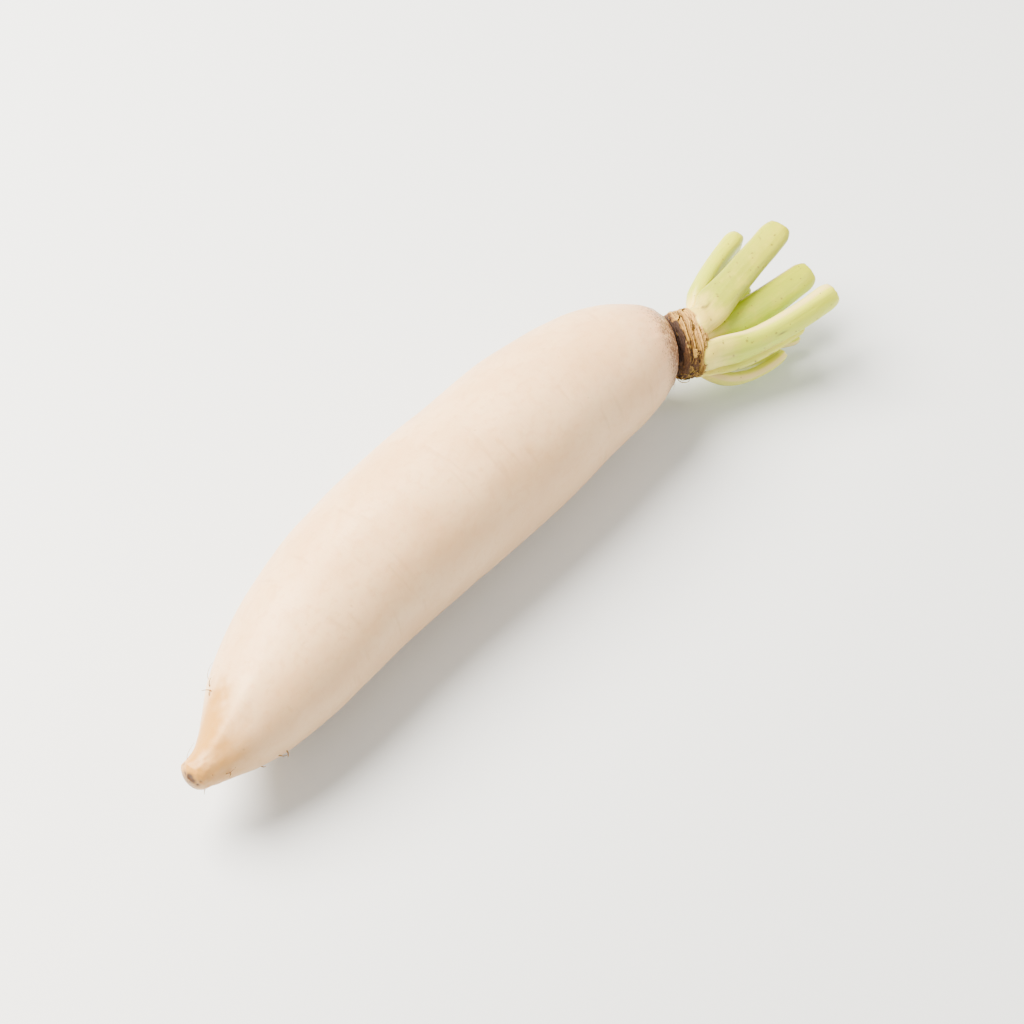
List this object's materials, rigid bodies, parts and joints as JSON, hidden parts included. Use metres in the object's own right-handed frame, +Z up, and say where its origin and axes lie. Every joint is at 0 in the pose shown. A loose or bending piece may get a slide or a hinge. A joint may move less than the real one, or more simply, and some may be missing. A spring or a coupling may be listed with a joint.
{
  "type": "white radish",
  "caption": "Long white radish lying on its belly: a bowed, tapering root with a blunt tip, a tan crown collar and a spray of leaf stalks cut short.",
  "frame": {"origin": "middle of the whole object's bounding box in plan, on the surface that the belly rests on", "axes": "+X from the root's tip towards the crown and the leaf stalks, +Z up with the radish lying down, +Y the side that the root bows towards"},
  "size_m": [0.308, 0.0742, 0.0579],
  "materials": {
    "skin": "smooth, faintly moist root skin",
    "collar": "dry wrinkled leaf scars",
    "stalk": "fresh, faintly ribbed and a little translucent"
  },
  "bodies": {
    "root": {"root": "skin", "crown_collar": "collar", "leaf_stalk_1": "stalk", "leaf_stalk_2": "stalk", "leaf_stalk_3": "stalk", "leaf_stalk_4": "stalk", "leaf_stalk_5": "stalk", "leaf_stalk_6": "stalk", "leaf_stalk_7": "stalk", "leaf_stalk_8": "stalk", "leaf_stalk_9": "stalk"}
  },
  "joints": []
}
